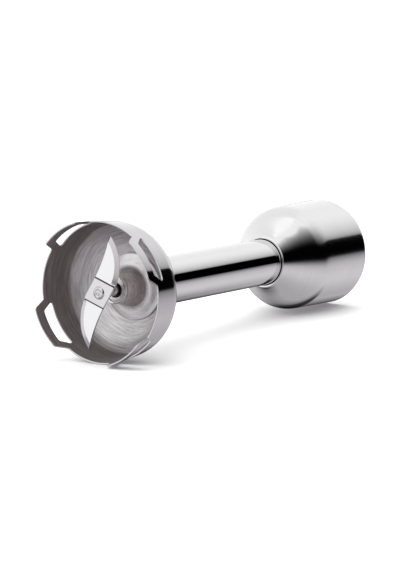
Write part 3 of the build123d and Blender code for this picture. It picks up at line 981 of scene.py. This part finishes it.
def make_world():
    """Room for the steel to mirror. The camera itself sees plain white."""
    world = bpy.data.worlds.new("studio")
    bpy.context.scene.world = world
    world.use_nodes = True
    tree = world.node_tree
    tree.nodes.clear()
    direction = coordinates(tree, "Generated")
    x, y, z = split_xyz(tree, direction)
    azimuth = math_node(tree, "DEGREES", math_node(tree, "ARCTAN2", x, y))
    elevation = math_node(tree, "DEGREES", math_node(tree, "ARCSINE", z))
    wall = room_wall(tree, azimuth, elevation)
    table = room_table(tree, direction, y, azimuth, elevation)
    below = minus(tree, elevation, curve(tree, azimuth, TABLE_EDGE))
    below = curve(tree, below, [(-3.0, 1.0), (-1.0, 0.0)])
    bright = plus(tree, wall, times(tree, below, minus(tree, table, wall)))
    band = times(tree, minus(tree, 1.0, curve(tree, azimuth, BAND)),
                 curve(tree, elevation, BAND_HEIGHT))
    bright = times(tree, bright, minus(tree, 1.0, band))
    shine = tree.nodes.new("ShaderNodeBackground")
    tree.links.new(ramp(tree, below, [(0, 1.0), (1, TABLE_COLOUR)]), shine.inputs[0])
    tree.links.new(bright, shine.inputs[1])
    white = tree.nodes.new("ShaderNodeBackground")
    white.inputs[0].default_value = (1, 1, 1, 1)
    path = tree.nodes.new("ShaderNodeLightPath")
    mix = tree.nodes.new("ShaderNodeMixShader")
    out = tree.nodes.new("ShaderNodeOutputWorld")
    tree.links.new(path.outputs["Is Camera Ray"], mix.inputs[0])
    tree.links.new(shine.outputs[0], mix.inputs[1])
    tree.links.new(white.outputs[0], mix.inputs[2])
    tree.links.new(mix.outputs[0], out.inputs[0])


def aim_along(item, direction):
    """Turns a light or camera to look along a direction."""
    item.rotation_mode = "QUATERNION"
    item.rotation_quaternion = direction.to_track_quat("-Z", "Y")


def make_overhead():
    """Wide soft light from above, which lights the table and leaves the steel to the room."""
    data = bpy.data.lights.new("overhead", "SUN")
    data.energy = SUN_ENERGY
    data.angle = radians(SUN_ANGLE)
    light = bpy.data.objects.new("overhead", data)
    bpy.context.scene.collection.objects.link(light)
    aim_along(light, Vector(SUN_DIRECTION))
    light.visible_glossy = False


def make_camera():
    data = bpy.data.cameras.new("camera")
    data.lens = LENS
    data.sensor_width = 36
    data.clip_end = 50
    camera = bpy.data.objects.new("camera", data)
    bpy.context.scene.collection.objects.link(camera)
    azimuth, elevation = radians(CAMERA_AZIMUTH), radians(CAMERA_ELEVATION)
    back = Vector((
        sin(azimuth) * cos(elevation), -cos(azimuth) * cos(elevation), sin(elevation),
    ))
    camera.location = Vector(CAMERA_AIM) + back * CAMERA_DISTANCE
    aim_along(camera, -back)
    bpy.context.scene.camera = camera


# ---------------------------------------------------------------- finishes

POLISHED = steel("steel_polished", (0.5, 0.49, 0.5), (0.05, 0.1), 6000, patch=0.1)
TUBE_POLISH = steel("steel_tube", (0.64, 0.635, 0.64), (0.04, 0.07), 8000)
HOUSING_POLISH = steel(
    "steel_housing", (0.64, 0.635, 0.64), (0.09, 0.12), 2500, streak=0.15, stretch=0.5,
)
BRUSH_MARKS = {
    "lines": 1100, "depth": 0.00003, "streak": 1.6, "patch": 0.3, "stretch": 0.5, "around": 2.2,
}
# Painted shade: the inside of the guard's wall is a darker, browner copy of the dome's steel, for
# the shade deep in the bell.
BRUSHED_PAINTED_SHADE = steel("steel_brushed_painted_shade", (0.395, 0.354, 0.357), (0.36, 0.5), **BRUSH_MARKS)
# Painted light: the dome's inside is a lighter copy of the wall's steel, and shift paints a bright
# ring from about 17.6 to 20.5 mm past the rim, a painted highlight where the wall turns into the
# dome, darker just before it.
DOME_PAINTED_LIGHT = steel(
    "steel_dome_painted_light", (0.59, 0.573, 0.583), (0.36, 0.5), **BRUSH_MARKS,
    shift=[(RIM_Y + 0.0162, 0.67), (RIM_Y + 0.0176, 1.28), (RIM_Y + 0.0205, 1.3),
           (RIM_Y + 0.0235, 0.97)],
)
CUT_EDGE = steel("steel_cut_edge", (0.5, 0.49, 0.5), (0.2, 0.35))
TURNED = steel(
    "steel_turned", (0.44, 0.405, 0.39), (0.24, 0.36), 1300, depth=0.00004, streak=1.5,
    patch=0.5, stretch=0.6, around=3.0,
)
DISH = steel(
    "steel_dish", (0.74, 0.725, 0.735), (0.36, 0.5), 1200, depth=0.00003, streak=0.9,
    patch=0.5, stretch=0.5, around=3.0,
)
GROUND = steel("steel_ground", (0.68, 0.65, 0.64), (0.12, 0.25))
SATIN = steel("steel_satin", (0.8, 0.78, 0.8), (0.4, 0.5))
PEENED = steel("steel_peened", (0.45, 0.445, 0.455), (0.2, 0.3), 500, patch=1.2)
WING = steel("steel_wing", (0.62, 0.62, 0.63), (0.26, 0.32))
CENTRE = steel("steel_centre", (0.61, 0.60, 0.61), (0.28, 0.36))
# Painted shade: the crease at each bend is coloured near black, for the shade in the groove.
CREASE_PAINTED_SHADE = steel("steel_crease_painted_shade", (0.05, 0.048, 0.05), (0.3, 0.4))
GRIND = steel("steel_grind", (0.43, 0.415, 0.43), (0.12, 0.18))
LIP = steel("steel_lip", (0.78, 0.77, 0.77), (0.12, 0.2))
SPRING = steel("steel_spring", (0.25, 0.25, 0.27), (0.3, 0.4))
RUBBER = plastic("rubber_black", (0.012, 0.012, 0.013), 0.6)
DARK_PLASTIC = plastic("plastic_dark", (0.03, 0.03, 0.032), 0.42)
GREY_PLASTIC = plastic("plastic_grey", (0.1, 0.1, 0.11), 0.45)
PALE_PLASTIC = plastic("plastic_pale", (0.6, 0.6, 0.56), 0.45)
BRASS = steel("brass_cage", (0.75, 0.6, 0.3), (0.25, 0.35))
BRONZE = steel("bronze_bush", (0.5, 0.32, 0.2), (0.4, 0.5))

# Finishes of the pieces that are shown as the CAD has them
CAD_FINISH = {
    "lower_bush": BRONZE, "bush_clip": SPRING, "tube_guides": PALE_PLASTIC,
    "bearing_carrier": PALE_PLASTIC, "bearing_outer_race": GROUND, "bearing_clip": SPRING,
    "coupling_insert": DARK_PLASTIC, "insert_screws": GROUND, "bearing_balls": GROUND,
    "bearing_cage": BRASS, "bearing_inner_race": GROUND, "shaft_clips": SPRING,
    "thrust_washer": GROUND, "drive_dog": GREY_PLASTIC, "dog_pin": GROUND,
}

# ---------------------------------------------------------------- assembly

make_guard(POLISHED, BRUSHED_PAINTED_SHADE, CUT_EDGE, DOME_PAINTED_LIGHT)
make_blade(CENTRE, WING, CREASE_PAINTED_SHADE, GRIND)
make_hub(TURNED, DISH, LIP)
make_seal(SATIN, RUBBER)
make_shaft(GROUND)
make_rivet(PEENED)
make_tube(TUBE_POLISH)
make_housing(HOUSING_POLISH)
for node, material in CAD_FINISH.items():
    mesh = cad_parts[node].data
    mesh.materials.clear()
    mesh.materials.append(material)
make_floor()
make_overhead()
make_world()
make_camera()
bpy.context.scene.view_settings.view_transform = "Standard"
